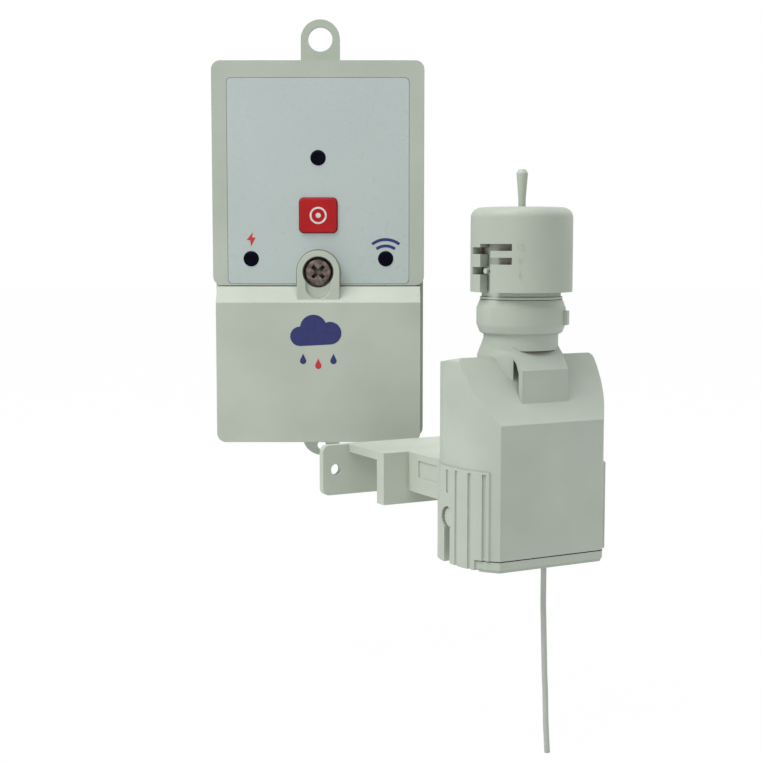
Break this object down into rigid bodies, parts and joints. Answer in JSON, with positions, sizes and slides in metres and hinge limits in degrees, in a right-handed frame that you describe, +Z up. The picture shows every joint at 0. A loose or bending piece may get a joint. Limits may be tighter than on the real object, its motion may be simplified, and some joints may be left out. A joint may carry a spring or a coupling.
{
  "type": "wireless rain sensor",
  "caption": "Wireless rain sensor set: tilting gutter-mounted sensor with a slotted cap over moisture discs, and a flat wall receiver with lamps, button and terminal cover.",
  "frame": {"origin": "centre of the receiver's hanging hole on the wall plane", "axes": "+X to the viewer's right, +Y into the wall, +Z up"},
  "size_m": [0.1199, 0.1129, 0.2208],
  "materials": {
    "receiver_case": "fine grained pale grey-green moulding",
    "receiver_cover": "fine grained pale grey-green moulding",
    "face_label": "satin printed film, left without words",
    "lamp_navy": "clear dark blue resin",
    "button_red": "satin red moulding",
    "switch_black": "black moulding",
    "switch_grey": "grey moulding",
    "circuit_board": "green solder mask",
    "screw_steel": "zinc plated",
    "screw_bronze": "darkened plated steel",
    "relay_blue": "moulded",
    "capacitor_sleeve": "heat-shrunk sleeve",
    "aerial_copper": "enamelled wire",
    "terminal_green": "moulded",
    "seal_rubber": "matt",
    "bracket_plastic": "fine grained pale grey-green moulding",
    "sensor_plastic": "fine grained pale grey-green moulding",
    "cap_plastic": "fine grained pale grey-green moulding",
    "cell_steel": "nickel plated",
    "contact_brass": "spring brass",
    "plunger_red": "moulded",
    "wire_sheath": "soft grey sheath",
    "spring_steel": "bright drawn wire",
    "cage_white": "moulded",
    "disc_fibre": "pressed fibre"
  },
  "bodies": {
    "fixed_set": {"receiver_rear_case": "receiver_case", "receiver_front_case": "receiver_case", "case_seal": "seal_rubber", "receiver_label": "face_label", "status_led": "lamp_navy", "power_led": "lamp_navy", "signal_led": "lamp_navy", "tact_switch": "switch_black", "receiver_board": "circuit_board", "board_screws": "screw_steel", "relay": "relay_blue", "power_capacitor": "capacitor_sleeve", "receiver_aerial": "aerial_copper", "terminal_block": "terminal_green", "terminal_screws": "screw_steel", "cable_grommet": "seal_rubber", "case_screws": "screw_steel", "gutter_bracket": "bracket_plastic", "swivel_shaft": "bracket_plastic"},
    "sensor": {"sensor_housing": "sensor_plastic", "transmitter_board": "circuit_board", "coin_cell": "cell_steel", "battery_holder": "switch_black", "battery_contact": "contact_brass", "microswitch": "switch_black", "antenna_ferrule": "wire_sheath", "antenna_wire": "wire_sheath", "head_pedestal": "sensor_plastic", "pedestal_screws": "screw_steel", "neck_sleeve": "sensor_plastic", "neck_seal": "seal_rubber", "return_spring": "spring_steel"},
    "vent_ring": {"vent_ring": "cap_plastic"},
    "disc_pack": {"disc_cage": "cage_white", "moisture_discs": "disc_fibre", "top_washer": "cage_white"},
    "cap": {"sensor_cap": "cap_plastic"},
    "spindle": {"spindle": "cap_plastic", "pressure_plate": "cage_white"},
    "switch_plunger": {"switch_plunger": "plunger_red"},
    "base_cover": {"base_cover": "sensor_plastic", "base_seal": "seal_rubber"},
    "bypass_button": {"bypass_button": "button_red"},
    "tact_plunger": {"tact_plunger": "switch_grey"},
    "terminal_cover": {"terminal_cover": "receiver_cover"},
    "cover_screw": {"cover_screw": "screw_bronze"}
  },
  "joints": [
    {"name": "sensor_tilt", "type": "hinge", "parent": "fixed_set", "child": "sensor", "pos_m": [0.05994, -0.08896, -0.146], "axis": [0.8829, 0.4695, 0], "range_deg": [-20, 40]},
    {"name": "vent_turn", "type": "hinge", "parent": "sensor", "child": "vent_ring", "pos_m": [0.0606, -0.0902, -0.0899], "axis": [0, 0, 1], "range_deg": [0, 30]},
    {"name": "cap_lift", "type": "slide", "parent": "sensor", "child": "disc_pack", "axis": [0, 0, 1], "range_m": [0, 0.042]},
    {"name": "cap_turn", "type": "hinge", "parent": "disc_pack", "child": "cap", "pos_m": [0.0606, -0.0902, -0.0689], "axis": [0, 0, 1], "range_deg": [0, 22]},
    {"name": "spindle_press", "type": "slide", "parent": "disc_pack", "child": "spindle", "axis": [0, 0, -1], "range_m": [0, 0.0025], "stiffness_N_per_m": 300, "springref_m": -0.001, "deforming": ["return_spring"]},
    {"name": "plunger_press", "type": "slide", "parent": "sensor", "child": "switch_plunger", "axis": [0, 0, -1], "range_m": [0, 0.0025]},
    {"name": "base_cover_drop", "type": "slide", "parent": "sensor", "child": "base_cover", "axis": [0, 0, -1], "range_m": [0, 0.025]},
    {"name": "button_press", "type": "slide", "parent": "fixed_set", "child": "bypass_button", "axis": [0, 1, 0], "range_m": [0, 0.0008], "stiffness_N_per_m": 800, "springref_m": -0.0005},
    {"name": "tact_press", "type": "slide", "parent": "fixed_set", "child": "tact_plunger", "axis": [0, 1, 0], "range_m": [0, 0.0008]},
    {"name": "terminal_cover_off", "type": "slide", "parent": "fixed_set", "child": "terminal_cover", "axis": [0, -1, 0], "range_m": [0, 0.0085]},
    {"name": "cover_screw_turn", "type": "hinge", "parent": "terminal_cover", "child": "cover_screw", "pos_m": [0, -0.0235, -0.0784], "axis": [0, -1, 0], "range_deg": [0, 1440]}
  ],
  "couplings": [
    {"joint": "plunger_press", "follows": "spindle_press", "ratio": 1},
    {"joint": "tact_press", "follows": "button_press", "ratio": 1}
  ]
}
